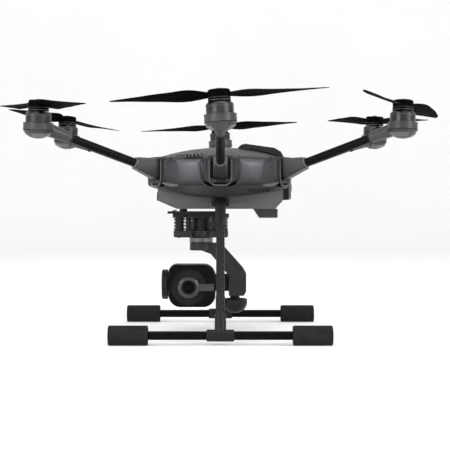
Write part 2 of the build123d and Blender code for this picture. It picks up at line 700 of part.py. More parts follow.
for name, sign in SIDES:
    across = leg_side(sign)

    with BuildPart() as leg_socket:
        with BuildSketch(across):
            with Locations((LEG_HINGE_X, LEG_HINGE_Z)):
                Circle(6.4)
        extrude(amount=LEG_HALF_WIDTH, both=True)
        with BuildSketch(leg_plane(LEG_HINGE_Z, sign)):
            RectangleRounded(13, 12, 2)
        with BuildSketch(leg_plane(142, sign)):
            RectangleRounded(12.5, 12, 4)
        with BuildSketch(leg_plane(134, sign)):
            RectangleRounded(11.4, 11.4, 5.6)
        loft(ruled=True)
        with BuildSketch(leg_plane(LEG_TUBE_TOP, sign)):
            Circle(TUBE_RADIUS)
        extrude(amount=40, mode=Mode.SUBTRACT)
        with BuildSketch(across):
            with Locations((LEG_HINGE_X, LEG_HINGE_Z)):
                Circle(LEG_PIN_RADIUS + 0.1)
        extrude(amount=20, both=True, mode=Mode.SUBTRACT)
    leg_socket.part.label = f"leg_socket_{name}"
    export_step(leg_socket.part, f"parts/leg_socket_{name}.step")

    level = Plane(origin=(sign * SKID_X, 0, SKID_Z), x_dir=(1, 0, 0), z_dir=(0, -1, 0))
    with BuildPart() as leg_tubes:
        with BuildSketch(leg_plane(LEG_TUBE_TOP, sign)):
            Circle(TUBE_RADIUS)
            Circle(TUBE_RADIUS - TUBE_WALL, mode=Mode.SUBTRACT)
        extrude(amount=(LEG_TUBE_TOP - LEG_TUBE_END) * LEG_STRETCH)
        with BuildSketch(level):
            Circle(TUBE_RADIUS)
            Circle(TUBE_RADIUS - TUBE_WALL, mode=Mode.SUBTRACT)
        extrude(amount=SKID_LENGTH / 2 - 3, both=True)
    leg_tubes.part.label = f"leg_tubes_{name}"
    export_step(leg_tubes.part, f"parts/leg_tubes_{name}.step")

    with BuildPart() as skid_tee:
        with BuildSketch(level):
            Circle(6.8)
        extrude(amount=15.75, both=True)
        chamfer(skid_tee.edges().filter_by(GeomType.CIRCLE), length=1)
        with BuildSketch(leg_plane(COLLAR_TOP, sign)):
            Circle(6.6)
        extrude(amount=(COLLAR_TOP - SKID_Z) * 1.05)
        with BuildSketch(leg_plane(COLLAR_TOP + 2, sign)):
            Circle(TUBE_RADIUS)
        extrude(amount=(COLLAR_TOP + 2 - LEG_TUBE_END) * LEG_STRETCH, mode=Mode.SUBTRACT)
        with BuildSketch(level):
            Circle(TUBE_RADIUS)
        extrude(amount=40, both=True, mode=Mode.SUBTRACT)
    skid_tee.part.label = f"skid_tee_{name}"
    export_step(skid_tee.part, f"parts/skid_tee_{name}.step")

    with BuildPart() as foam_feet:
        for end_sign in (-1, 1):
            middle = end_sign * (SKID_LENGTH - FOOT_LENGTH) / 2
            foot = Plane(origin=(sign * SKID_X, middle, SKID_Z), x_dir=(1, 0, 0), z_dir=(0, -1, 0))
            with BuildSketch(foot):
                Circle(FOOT_RADIUS)
            extrude(amount=FOOT_LENGTH / 2, both=True)
        fillet(foam_feet.edges().filter_by(GeomType.CIRCLE), radius=1.5)
        with BuildSketch(Plane.XY):
            with Locations((sign * SKID_X, 0)):
                Rectangle(60, 300)
        extrude(amount=-20, mode=Mode.SUBTRACT)
        with BuildSketch(level):
            Circle(TUBE_RADIUS)
        extrude(amount=SKID_LENGTH / 2 - 3, both=True, mode=Mode.SUBTRACT)
    foam_feet.part.label = f"foam_feet_{name}"
    export_step(foam_feet.part, f"parts/foam_feet_{name}.step")


# ---------------------------------------------------------------- gimbal, fixed part
PLATE_BOTTOM = 148.0
PLATE_TOP = 151.0
PAD_BOTTOM = 143.0
DAMPER_BOTTOM = 127.0
BASE_BOTTOM = 119.0
RING_BOTTOM = 112.0
HUB_ARM_BOTTOM = 102.5
MOTOR_TOP = 146.0
MOTOR_RIBS = 6
DAMPER_X = 21.0
DAMPER_SPACING = 54.0
DAMPER_RINGS = 4
# distance between two rows of dampers, radius of their rings and of their cores
DAMPER_ROWS = ((DAMPER_SPACING, 6.0, 4.4), (31.0, 3.8, 2.8))

with BuildPart() as gimbal_mount_plate:
    with BuildSketch(Plane.XY.offset(PLATE_BOTTOM)):
        with Locations((0, -30.5)):
            RectangleRounded(62, 69, 8)
    extrude(amount=PLATE_TOP - PLATE_BOTTOM)
    with BuildSketch(Plane.XY.offset(PLATE_TOP)):
        with Locations((0, PAN_Y)):
            with GridLocations(48, 44, 2, 2):
                Circle(4)
    extrude(amount=BELLY_Z - PLATE_TOP)
    with BuildSketch(Plane.XY.offset(PAD_BOTTOM)):
        with Locations((0, PAN_Y)):
            with GridLocations(2 * DAMPER_X, DAMPER_SPACING, 2, 2):
                RectangleRounded(15, 15, 3)
    extrude(amount=PLATE_BOTTOM - PAD_BOTTOM)
    with BuildSketch(Plane.XY.offset(PAD_BOTTOM)):
        with Locations((0, PAN_Y)):
            Rectangle(2 * DAMPER_X + 9, DAMPER_SPACING)
            Rectangle(2 * DAMPER_X - 9, DAMPER_SPACING - 9, mode=Mode.SUBTRACT)
    extrude(amount=PLATE_BOTTOM - PAD_BOTTOM)
gimbal_mount_plate.part.label = "gimbal_mount_plate"
export_step(gimbal_mount_plate.part, "parts/gimbal_mount_plate.step")

with BuildPart() as gimbal_dampers:
    ring_height = (PAD_BOTTOM - DAMPER_BOTTOM) / DAMPER_RINGS
    for spacing, ring_radius, core_radius in DAMPER_ROWS:
        with BuildSketch(Plane.XY.offset(DAMPER_BOTTOM)):
            with Locations((0, PAN_Y)):
                with GridLocations(2 * DAMPER_X, spacing, 2, 2):
                    Circle(core_radius)
        extrude(amount=PAD_BOTTOM - DAMPER_BOTTOM)
        for ring in range(DAMPER_RINGS):
            with BuildSketch(Plane.XY.offset(DAMPER_BOTTOM + ring * ring_height + 0.7)):
                with Locations((0, PAN_Y)):
                    with GridLocations(2 * DAMPER_X, spacing, 2, 2):
                        Circle(ring_radius)
            extrude(amount=ring_height - 1.4)
gimbal_dampers.part.label = "gimbal_dampers"
export_step(gimbal_dampers.part, "parts/gimbal_dampers.step")

with BuildPart() as gimbal_base:
    with BuildSketch(Plane.XY.offset(BASE_BOTTOM)):
        with Locations((0, PAN_Y)):
            RectangleRounded(2 * DAMPER_X + 16, DAMPER_SPACING + 13, 6)
            with GridLocations(2 * DAMPER_X + 16, 0, 2, 1):
                Circle(11, mode=Mode.SUBTRACT)
    extrude(amount=DAMPER_BOTTOM - BASE_BOTTOM)
    chamfer(gimbal_base.edges().group_by(Axis.Z)[0], length=1.5)
    # Ribbed housing of the pan motor, free of the plate above it.
    with BuildSketch(Plane.XY.offset(DAMPER_BOTTOM)):
        with Locations((0, PAN_Y)):
            Circle(11.5)
    extrude(amount=MOTOR_TOP - DAMPER_BOTTOM)
    rib_step = (MOTOR_TOP - DAMPER_BOTTOM) / MOTOR_RIBS
    for rib in range(MOTOR_RIBS):
        with BuildSketch(Plane.XY.offset(DAMPER_BOTTOM + rib * rib_step + 0.6)):
            with Locations((0, PAN_Y)):
                Circle(13)
        extrude(amount=rib_step - 1.2)
    with BuildSketch(Plane.XY.offset(RING_BOTTOM)):
        with Locations((0, PAN_Y)):
            Circle(12)
    extrude(amount=BASE_BOTTOM - RING_BOTTOM)
gimbal_base.part.label = "gimbal_base"
export_step(gimbal_base.part, "parts/gimbal_base.step")

with BuildPart() as pan_motor_ring:
    with BuildSketch(Plane.XY.offset(RING_BOTTOM)):
        with Locations((0, PAN_Y)):
            Circle(14.7)
            Circle(12, mode=Mode.SUBTRACT)
    extrude(amount=BASE_BOTTOM - RING_BOTTOM)
    chamfer(pan_motor_ring.edges().filter_by(GeomType.CIRCLE), length=0.8)
pan_motor_ring.part.label = "pan_motor_ring"
export_step(pan_motor_ring.part, "parts/pan_motor_ring.step")


# ---------------------------------------------------------------- gimbal, moving part
ARM_BACK = -56.0  # behind the camera, x
ROLL_MOTOR_BACK = -46.0
ROLL_MOTOR_FRONT = -36.0

with BuildPart() as pan_arm:
    with BuildSketch(Plane.XY.offset(HUB_ARM_BOTTOM)):
        with Locations((0, PAN_Y)):
            Circle(14.2)
    extrude(amount=RING_BOTTOM - RUNNING_GAP - HUB_ARM_BOTTOM)
    with BuildSketch(Plane.YZ.offset(-13)):
        with BuildLine():
            Polyline(
                (PAN_Y, 111.7),
                (-5, 111.7),
                (4, 108),
                (28, 81),
                (32, 74),
                (32, 51),
                (29, 46),
                (10.5, 46),
                (10.5, 71),
                (-12, 98),
                (PAN_Y, HUB_ARM_BOTTOM),
                close=True,
            )
        make_face()
    extrude(amount=21)
    with BuildSketch(Plane.YZ.offset(ARM_BACK)):
        with Locations((20.25, 59)):
            Rectangle(19.5, 24)
    extrude(amount=-ARM_BACK - 13)
    with BuildSketch(Plane.YZ.offset(ARM_BACK)):
        with Locations((0, 59)):
            Rectangle(60, 22)
        with Locations((CAMERA_Y, CAMERA_Z)):
            Circle(15)
    extrude(amount=ROLL_MOTOR_BACK - ARM_BACK)
pan_arm.part.label = "pan_arm"
export_step(pan_arm.part, "parts/pan_arm.step")

with BuildPart() as downlink_antenna:
    with BuildSketch(Plane(origin=(-4, 18, 0), x_dir=(1, 0, 0), z_dir=(0, -1, 0))):
        with BuildLine():
            bowl = ThreePointArc((0, 24), (11.5, 28.2), (15.5, 38))
            Polyline(bowl @ 1, (15.5, 41), (14.5, 42), (6, 42), (6, 46), (0, 46), bowl @ 0)
        make_face()
    revolve(axis=Axis((-4, 18, 0), (0, 0, 1)))
downlink_antenna.part.label = "downlink_antenna"
export_step(downlink_antenna.part, "parts/downlink_antenna.step")

with BuildPart() as roll_bracket:
    with BuildSketch(Plane.YZ.offset(ROLL_MOTOR_BACK + RUNNING_GAP)):
        with Locations((CAMERA_Y, CAMERA_Z)):
            Circle(14)
    extrude(amount=ROLL_MOTOR_FRONT - ROLL_MOTOR_BACK - RUNNING_GAP)
    with BuildSketch(Plane.YZ.offset(ROLL_MOTOR_FRONT - 4)):
        with Locations(((CAMERA_Y - 72) / 2, CAMERA_Z)):
            Rectangle(72 + CAMERA_Y, 20)
    extrude(amount=4)
    with BuildSketch(Plane.YZ.offset(ROLL_MOTOR_FRONT - 4)):
        with Locations((-69, CAMERA_Z)):
            Rectangle(6, 20)
    extrude(amount=26)
    fillet(roll_bracket.edges().filter_by(Axis.Z), radius=1.2)
    with BuildSketch(Plane.XZ.offset(64)):
        with Locations((0, CAMERA_Z)):
            Circle(18.5)
    extrude(amount=20, mode=Mode.SUBTRACT)
roll_bracket.part.label = "roll_bracket"
export_step(roll_bracket.part, "parts/roll_bracket.step")

with BuildPart() as tilt_motor:
    with BuildSketch(Plane.XZ.offset(65.3)):
        with Locations((0, CAMERA_Z)):
            Circle(18.5)
    extrude(amount=7.3)
    chamfer(tilt_motor.edges().group_by(Axis.Y)[0], length=1.2)
tilt_motor.part.label = "tilt_motor"
export_step(tilt_motor.part, "parts/tilt_motor.step")

CAMERA_FRONT = CAMERA_DEPTH / 2
DISH_RADIUS = 22.0
LENS_RING_RADIUS = 13.0
GLASS_RADIUS = 8.5

with BuildPart() as camera_body:
    with BuildSketch(Plane.YZ.offset(-CAMERA_FRONT)):
        with Locations((CAMERA_Y, 59)):
            Rectangle(CAMERA_WIDTH, CAMERA_HEIGHT)
    extrude(amount=CAMERA_DEPTH)
    long_edges = camera_body.edges().filter_by(Axis.X)
    sharp = long_edges.group_by(Axis.Z)[-1].sort_by(Axis.Y)[0]
    rounded = long_edges - ShapeList([sharp])
    fillet(rounded, radius=15)
    fillet(camera_body.edges().filter_by(Axis.X).group_by(Axis.Z)[-1].sort_by(Axis.Y)[0], radius=9)
    fillet(camera_body.faces().sort_by(Axis.X)[-1].edges(), radius=2.5)
    fillet(camera_body.faces().sort_by(Axis.X)[0].edges(), radius=2.5)
    # Shallow dish around the lens, with a bar that runs from the lens to the edge of the body.
    with BuildSketch(Plane.YZ.offset(CAMERA_FRONT - 1.5)):
        with Locations((LENS_Y, LENS_Z)):
            Circle(DISH_RADIUS)
    extrude(amount=10, mode=Mode.SUBTRACT)
    with BuildSketch(Plane.YZ.offset(CAMERA_FRONT - 1.5)):
        with Locations(((LENS_Y - 8) / 2, LENS_Z)):
            Rectangle(-8 - LENS_Y, 10)
        with Locations((LENS_Y, LENS_Z)):
            Circle(LENS_RING_RADIUS)
    extrude(amount=2.5)
    with BuildSketch(Plane.YZ.offset(CAMERA_FRONT - 8)):
        with Locations((LENS_Y, LENS_Z)):
            Circle(LENS_RING_RADIUS - 2)
    extrude(amount=20, mode=Mode.SUBTRACT)
    # Boss that runs in the tilt motor.
    with BuildSketch(Plane.XZ.offset(CAMERA_WIDTH / 2 - CAMERA_Y - 3)):
        with Locations((0, CAMERA_Z)):
            Circle(6)
    extrude(amount=4.1)
camera_body.part.label = "camera_body"
export_step(camera_body.part, "parts/camera_body.step")

with BuildPart() as lens_barrel:
    with BuildSketch(Plane.YZ.offset(CAMERA_FRONT - 8)):
        with Locations((LENS_Y, LENS_Z)):
            Circle(LENS_RING_RADIUS - 2)
    extrude(amount=11.5)
    with BuildSketch(Plane.YZ.offset(CAMERA_FRONT - 4)):
        with Locations((LENS_Y, LENS_Z)):
            Circle(GLASS_RADIUS)
    extrude(amount=10, mode=Mode.SUBTRACT)
    with BuildSketch(Plane.YZ.offset(CAMERA_FRONT + 0.5)):
        with Locations((LENS_Y, LENS_Z)):
            Circle(GLASS_RADIUS + 1)
    extrude(amount=10, mode=Mode.SUBTRACT)
lens_barrel.part.label = "lens_barrel"
export_step(lens_barrel.part, "parts/lens_barrel.step")

with BuildPart() as lens_glass:
    with BuildSketch(Plane(origin=(0, LENS_Y, LENS_Z), x_dir=(0, 1, 0), z_dir=(0, 0, 1))):
        with BuildLine():
            edge = (GLASS_RADIUS, -CAMERA_FRONT + 1.5)
            crown = ThreePointArc((0, -CAMERA_FRONT), (GLASS_RADIUS * 0.6, -CAMERA_FRONT + 0.5), edge)
            Polyline(crown @ 1, (GLASS_RADIUS, -CAMERA_FRONT + 4), (0, -CAMERA_FRONT + 4), crown @ 0)
        make_face()
    revolve(axis=Axis((0, LENS_Y, LENS_Z), (1, 0, 0)))
lens_glass.part.label = "lens_glass"
export_step(lens_glass.part, "parts/lens_glass.step")
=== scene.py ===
import json
import math

import bmesh
import bpy
from mathutils import Matrix, Vector


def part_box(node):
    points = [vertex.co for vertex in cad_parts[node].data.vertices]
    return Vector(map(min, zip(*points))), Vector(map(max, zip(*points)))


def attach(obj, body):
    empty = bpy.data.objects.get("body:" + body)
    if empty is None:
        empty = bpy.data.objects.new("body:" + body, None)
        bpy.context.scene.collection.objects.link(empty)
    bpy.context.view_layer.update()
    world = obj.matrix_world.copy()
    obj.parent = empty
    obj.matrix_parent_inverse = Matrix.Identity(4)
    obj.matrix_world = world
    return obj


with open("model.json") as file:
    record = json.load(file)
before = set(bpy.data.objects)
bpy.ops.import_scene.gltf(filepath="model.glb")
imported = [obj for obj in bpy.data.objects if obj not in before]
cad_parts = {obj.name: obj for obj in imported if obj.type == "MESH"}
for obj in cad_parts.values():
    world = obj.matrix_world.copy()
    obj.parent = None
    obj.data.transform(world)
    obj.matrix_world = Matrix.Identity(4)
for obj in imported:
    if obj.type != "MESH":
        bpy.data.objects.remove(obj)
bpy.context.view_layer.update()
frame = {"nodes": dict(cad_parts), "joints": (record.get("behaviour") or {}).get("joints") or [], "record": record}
nodes = frame["nodes"]
ARMS = ("left", "rear_left", "rear_right", "right", "front_right", "front_left")


# ---------------------------------------------------------------- materials
def new_material(name, metallic=0.0, coat=0.0, specular=0.5):
    """A principled material with object coordinates ready to drive its textures."""
    material = bpy.data.materials.new(name)
    material.use_nodes = True
    tree = material.node_tree
    shader = tree.nodes["Principled BSDF"]
    shader.inputs["Metallic"].default_value = metallic
    shader.inputs["Coat Weight"].default_value = coat
    shader.inputs["Coat Roughness"].default_value = 0.12
    shader.inputs["Specular IOR Level"].default_value = specular
    coordinates = tree.nodes.new("ShaderNodeTexCoord")
    return material, tree, shader, coordinates.outputs["Object"]


def noise(tree, vector, scale, detail=3.0, roughness=0.5):
    node = tree.nodes.new("ShaderNodeTexNoise")
    node.inputs["Scale"].default_value = scale
    node.inputs["Detail"].default_value = detail
    node.inputs["Roughness"].default_value = roughness
    tree.links.new(vector, node.inputs["Vector"])
    return node.outputs["Fac"]


def spread(tree, value, low, high, start=0.3, stop=0.7):
    """Maps a texture's middle range onto low..high."""
    node = tree.nodes.new("ShaderNodeMapRange")
    node.inputs["From Min"].default_value = start
    node.inputs["From Max"].default_value = stop
    node.inputs["To Min"].default_value = low
    node.inputs["To Max"].default_value = high
    tree.links.new(value, node.inputs["Value"])
    return node.outputs["Result"]


def two_tone(tree, value, dark, light, start=0.35, stop=0.65):
    ramp = tree.nodes.new("ShaderNodeValToRGB")
    ramp.color_ramp.elements[0].position = start
    ramp.color_ramp.elements[0].color = (*dark, 1)
    ramp.color_ramp.elements[1].position = stop
    ramp.color_ramp.elements[1].color = (*light, 1)
    tree.links.new(value, ramp.inputs["Fac"])
    return ramp.outputs["Color"]


def bump(tree, shader, height, strength, distance):
    node = tree.nodes.new("ShaderNodeBump")
    node.inputs["Strength"].default_value = strength
    node.inputs["Distance"].default_value = distance
    tree.links.new(height, node.inputs["Height"])
    tree.links.new(node.outputs["Normal"], shader.inputs["Normal"])


def shade(grey, tint=(1.0, 1.01, 1.05)):
    return tuple(grey * channel for channel in tint)


def plastic(name, grey, roughness, grain=1400.0, relief=0.12, metallic=0.0, coat=0.0, specular=0.25):
    """Moulded or painted plastic: mottled tone, uneven gloss and a fine grain."""
    material, tree, shader, place = new_material(name, metallic, coat, specular)
    cloud = noise(tree, place, 24.0, 4.0)
    colour = two_tone(tree, cloud, shade(grey * 0.86), shade(grey * 1.12))
    tree.links.new(colour, shader.inputs["Base Color"])
    gloss = noise(tree, place, 60.0, 5.0, 0.6)
    tree.links.new(spread(tree, gloss, roughness - 0.05, roughness + 0.06), shader.inputs["Roughness"])
    bump(tree, shader, noise(tree, place, grain, 2.0), relief, 0.0002)
    return material


def carbon(name, dark, light):
    """Twill weave under clear lacquer, from two crossed bands."""
    material, tree, shader, place = new_material(name, 0.0, 0.0, 0.04)
    bands = []
    for turn in (45, -45):
        mapping = tree.nodes.new("ShaderNodeMapping")
        mapping.inputs["Rotation"].default_value = (math.radians(turn), math.radians(turn), 0)
        tree.links.new(place, mapping.inputs["Vector"])
        wave = tree.nodes.new("ShaderNodeTexWave")
        wave.inputs["Scale"].default_value = 240.0
        wave.inputs["Distortion"].default_value = 0.4
        tree.links.new(mapping.outputs["Vector"], wave.inputs["Vector"])
        bands.append(wave.outputs["Fac"])
    weave = calculate(tree, "MULTIPLY", *bands)
    colour = two_tone(tree, weave, shade(dark), shade(light), 0.2, 0.8)
    tree.links.new(colour, shader.inputs["Base Color"])
    tree.links.new(spread(tree, weave, 0.26, 0.32, 0.0, 1.0), shader.inputs["Roughness"])
    bump(tree, shader, weave, 0.04, 0.00002)
    return material


def leg_carbon(name):
    """Carbon of the landing gear: the skids, below about 20 mm, are darker than the uprights."""
    material = carbon(name, 0.018, 0.030)
    tree = material.node_tree
    shader = tree.nodes["Principled BSDF"]
    upright = shader.inputs["Base Color"].links[0].from_socket
    skid = spread(tree, coordinate(tree, "Object", "Z"), 1.0, 0.0, 0.019, 0.021)
    tree.links.new(mixed(tree, skid, upright, grey_tone(tree, 0.004)), shader.inputs["Base Color"])
    return material


def foam(name):
    """Closed-cell foam: matt, pitted and slightly dusty."""
    material, tree, shader, place = new_material(name, specular=0.2)
    cells = tree.nodes.new("ShaderNodeTexVoronoi")
    cells.inputs["Scale"].default_value = 900.0
    tree.links.new(place, cells.inputs["Vector"])
    dust = noise(tree, place, 90.0, 6.0, 0.65)
    tree.links.new(two_tone(tree, dust, shade(0.007), shade(0.015)), shader.inputs["Base Color"])
    tree.links.new(spread(tree, dust, 0.78, 0.95), shader.inputs["Roughness"])
    bump(tree, shader, cells.outputs["Distance"], 0.5, 0.0004)
    return material


def metal(name, grey, roughness, lines=900.0, tint=(1.0, 1.0, 1.02)):
    """Turned metal: fine rings across the height and a slightly uneven polish."""
    material, tree, shader, place = new_material(name, 1.0)
    wave = tree.nodes.new("ShaderNodeTexWave")
    wave.bands_direction = "Z"
    wave.inputs["Scale"].default_value = lines
    wave.inputs["Distortion"].default_value = 1.5
    tree.links.new(place, wave.inputs["Vector"])
    cloud = noise(tree, place, 80.0, 4.0)
    colour = two_tone(tree, cloud, shade(grey * 0.85, tint), shade(grey * 1.1, tint))
    tree.links.new(colour, shader.inputs["Base Color"])
    gloss = spread(tree, wave.outputs["Fac"], roughness - 0.05, roughness + 0.07, 0, 1)
    tree.links.new(gloss, shader.inputs["Roughness"])
    bump(tree, shader, wave.outputs["Fac"], 0.08, 0.00008)
    return material


def mixed(tree, factor, first, second):
    node = tree.nodes.new("ShaderNodeMix")
    node.data_type = "RGBA"
    tree.links.new(factor, node.inputs["Factor"])
    tree.links.new(first, node.inputs[6])
    tree.links.new(second, node.inputs[7])
    return node.outputs[2]


def coordinate(tree, output, name):
    """One component of the object coordinates or of the surface normal."""
    split = tree.nodes.new("ShaderNodeSeparateXYZ")
    tree.links.new(tree.nodes["Texture Coordinate"].outputs[output], split.inputs["Vector"])
    return split.outputs[name]


def calculate(tree, operation, *values):
    """A math node over sockets and plain numbers."""
    node = tree.nodes.new("ShaderNodeMath")
    node.operation = operation
    for index, value in enumerate(values):
        if isinstance(value, (int, float)):
            node.inputs[index].default_value = value
        else:
            tree.links.new(value, node.inputs[index])
    return node.outputs["Value"]


def distance_from_axis(tree):
    """Distance from the airframe's upright axis."""
    x, y = coordinate(tree, "Object", "X"), coordinate(tree, "Object", "Y")
    return calculate(tree, "SQRT", calculate(tree, "ADD", calculate(tree, "MULTIPLY", x, x),
                                             calculate(tree, "MULTIPLY", y, y)))


def painted_height_shade(tree, stops):
    """Painted light and shade that follow the height: stops are (millimetres, grey)."""
    low, high = stops[0][0], stops[-1][0]
    height = spread(tree, coordinate(tree, "Object", "Z"), 0.0, 1.0, low * 0.001, high * 0.001)
    ramp = tree.nodes.new("ShaderNodeValToRGB")
    elements = ramp.color_ramp.elements
    elements[0].color = (*shade(stops[0][1]), 1)
    elements[1].color = (*shade(stops[-1][1]), 1)
    for place, grey in stops[1:-1]:
        element = elements.new((place - low) / (high - low))
        element.color = (*shade(grey), 1)
    tree.links.new(height, ramp.inputs["Fac"])
    return ramp.outputs["Color"]


def grey_tone(tree, grey):
    """A lightly mottled grey."""
    place = tree.nodes["Texture Coordinate"].outputs["Object"]
    return two_tone(tree, noise(tree, place, 26.0, 4.0), shade(grey * 0.88), shade(grey * 1.1))


def body_paint_and_shade(name, stops, underside_shade, roughness=0.42):
    """Satin paint with painted light and shade by height, and painted shade on surfaces that face downwards."""
    material = plastic(name, 0.9, roughness, metallic=0.4, relief=0.08, specular=0.3)
    tree = material.node_tree
    shader = tree.nodes["Principled BSDF"]
    mottle = shader.inputs["Base Color"].links[0].from_socket
    mix = tree.nodes.new("ShaderNodeMix")
    mix.data_type = "RGBA"
    mix.blend_type = "MULTIPLY"
    mix.inputs["Factor"].default_value = 1.0
    tree.links.new(painted_height_shade(tree, stops), mix.inputs[6])
    tree.links.new(mottle, mix.inputs[7])
    # Painted shade: surfaces that face downwards take the darker underside grey.
    painted_underside_shade = spread(tree, coordinate(tree, "Normal", "Z"), 1.0, 0.0, -0.75, -0.1)
    tone = mixed(tree, painted_underside_shade, mix.outputs[2], grey_tone(tree, underside_shade))
    tree.links.new(tone, shader.inputs["Base Color"])
    return material


def shell_paint_and_shade(name):
    """Upper shell: painted shade makes it darker on the crown and darkest inside the arm sockets."""
    # Painted light and shade by height: lightest on the band from 196 to 207 mm, darker below it and on the crown.
    stops = ((187, 0.036), (196, 0.056), (207, 0.060), (214, 0.040), (230, 0.030))
    material = body_paint_and_shade(name, stops, 0.012)
    tree = material.node_tree
    shader = tree.nodes["Principled BSDF"]
    tone = shader.inputs["Base Color"].links[0].from_socket
    # The shell's outside narrows towards the crown; anything nearer the axis is the inside of a socket.
    height = coordinate(tree, "Object", "Z")
    above = calculate(tree, "MAXIMUM", calculate(tree, "SUBTRACT", height, 0.203), 0.0)
    limit = calculate(tree, "SUBTRACT", 0.0876, calculate(tree, "MULTIPLY", above, 0.35))
    depth = calculate(tree, "SUBTRACT", limit, distance_from_axis(tree))
    inside = spread(tree, depth, 0.0, 1.0, 0.0, 0.0004)
    below_crown = spread(tree, height, 1.0, 0.0, 0.2125, 0.2130)
    socket = calculate(tree, "MULTIPLY", inside, below_crown)
    # Painted shade: the inside of each arm socket is painted near black.
    tree.links.new(mixed(tree, socket, tone, grey_tone(tree, 0.006)), shader.inputs["Base Color"])
    return material


def root_paint_and_shade(name):
    """Arm roots and pods: painted shade, darkest at the fold knuckle and lighter towards the tube."""
    material = plastic(name, 0.056, 0.40, metallic=0.4, relief=0.08, specular=0.3)
    tree = material.node_tree
    shader = tree.nodes["Principled BSDF"]
    tone = shader.inputs["Base Color"].links[0].from_socket
    height = coordinate(tree, "Object", "Z")
    # Painted shade: the root is darker below 196 to 212 mm.
    shaded = mixed(tree, spread(tree, height, 1.0, 0.0, 0.196, 0.212), tone, grey_tone(tree, 0.030))
    # Painted shade: near black below the fold knuckle's height of about 191 mm.
    knuckle = spread(tree, height, 1.0, 0.0, 0.1908, 0.1916)
    tree.links.new(mixed(tree, knuckle, shaded, grey_tone(tree, 0.006)), shader.inputs["Base Color"])
    return material


def hull_paint_and_shade(name):
    """Lower hull: painted shade fades to dark towards the keel, and the belly between its flanks is painted
    lighter as if lit.
    """
    # Painted shade by height: darker towards the keel.
    material = body_paint_and_shade(name, ((165, 0.010), (172, 0.012), (181, 0.022), (187, 0.036)), 0.008)
    tree = material.node_tree
    shader = tree.nodes["Principled BSDF"]
    tone = shader.inputs["Base Color"].links[0].from_socket
    across = calculate(tree, "ABSOLUTE", coordinate(tree, "Object", "X"))
    belly = spread(tree, across, 1.0, 0.0, 0.0405, 0.0420)
    # Painted light on the belly's flanks, painted shade on its underside, which faces the floor.
    floor = spread(tree, coordinate(tree, "Normal", "Z"), 1.0, 0.0, -0.98, -0.85)
    belly_light_and_shade = mixed(tree, floor, grey_tone(tree, 0.110), grey_tone(tree, 0.010))
    tree.links.new(mixed(tree, belly, tone, belly_light_and_shade), shader.inputs["Base Color"])
    return material


def camera_case(name):
    """Camera housing: satin black, a little lighter in the sunken dish around the lens."""
    material = plastic(name, 0.004, 0.45, grain=1100.0, specular=0.05)
    tree = material.node_tree
    shader = tree.nodes["Principled BSDF"]
    tone = shader.inputs["Base Color"].links[0].from_socket
    place = tree.nodes["Texture Coordinate"].outputs["Object"]
    sunken = spread(tree, coordinate(tree, "Object", "X"), 1.0, 0.0, 0.0197, 0.0204)
    front = spread(tree, coordinate(tree, "Normal", "X"), 0.0, 1.0, 0.6, 0.9)
    dish_tone = two_tone(tree, noise(tree, place, 30.0), shade(0.012), shade(0.017))
    dish = calculate(tree, "MULTIPLY", sunken, front)
    tree.links.new(mixed(tree, dish, tone, dish_tone), shader.inputs["Base Color"])
    return material


def lens_coating(name):
    """Dark coated glass, a little bluer where the coating is thicker."""
    material, tree, shader, place = new_material(name, 0.0, 0.0, 0.05)
    cloud = noise(tree, place, 140.0, 2.0)
    colour = two_tone(tree, cloud, (0.002, 0.002, 0.003), (0.004, 0.004, 0.006))
    tree.links.new(colour, shader.inputs["Base Color"])
    tree.links.new(spread(tree, cloud, 0.03, 0.07), shader.inputs["Roughness"])
    return material


# Painted light and shade on the side panels: darker at their lower edge, lighter towards the top.
PANEL_SHADE_STOPS = ((182, 0.022), (188, 0.042), (202, 0.085), (212, 0.100))
MATERIALS = {
    # The shell, hull, arm and panel paints carry painted light and shade.
    "shell": shell_paint_and_shade("shell_paint_and_shade"),
    "hull": hull_paint_and_shade("hull_paint_and_shade"),
    "dark_plastic": plastic("moulded_black", 0.008, 0.45, specular=0.2),
    "arm_plastic": root_paint_and_shade("arm_paint_and_shade"),
    "camera_plastic": camera_case("camera_case"),
    "carbon": carbon("carbon_tube", 0.004, 0.010),
    "leg_carbon": leg_carbon("leg_carbon"),
    "blade_plastic": plastic("blade_plastic", 0.002, 0.62, grain=700.0, relief=0.05, specular=0.01),
    "motor_metal": metal("motor_anodised", 0.050, 0.32),
    "silver": metal("turned_silver", 0.14, 0.22),
    "steel": metal("pin_steel", 0.30, 0.35),
    "circuit_board": plastic("solder_mask", 0.03, 0.3),
    "lamp_housing": plastic("smoked_lamp", 0.03, 0.22, coat=0.2),
    "damper_rubber": plastic("damper_rubber", 0.008, 0.55, grain=2400.0),
    "foam": foam("foot_foam"),
    "button_plastic": plastic("button_plastic", 0.10, 0.4),
    "glass": lens_coating("lens_coating"),
    "light_window": plastic("light_window", 0.10, 0.3, grain=300.0, coat=0.2),
    "lens_trim": plastic("lens_trim", 0.060, 0.30, metallic=0.5),
    "panel": body_paint_and_shade("panel_paint_and_shade", PANEL_SHADE_STOPS, 0.02, 0.40),
    "rim": plastic("rim_paint", 0.110, 0.36, metallic=0.4, relief=0.06, specular=0.4),
    "gimbal_paint": plastic("gimbal_paint", 0.024, 0.36, metallic=0.4, relief=0.08, specular=0.25),
    "hump": plastic("hump_paint", 0.022, 0.34, metallic=0.4, relief=0.08),
    "seam": plastic("seam_shadow", 0.003, 0.7, specular=0.05),
}

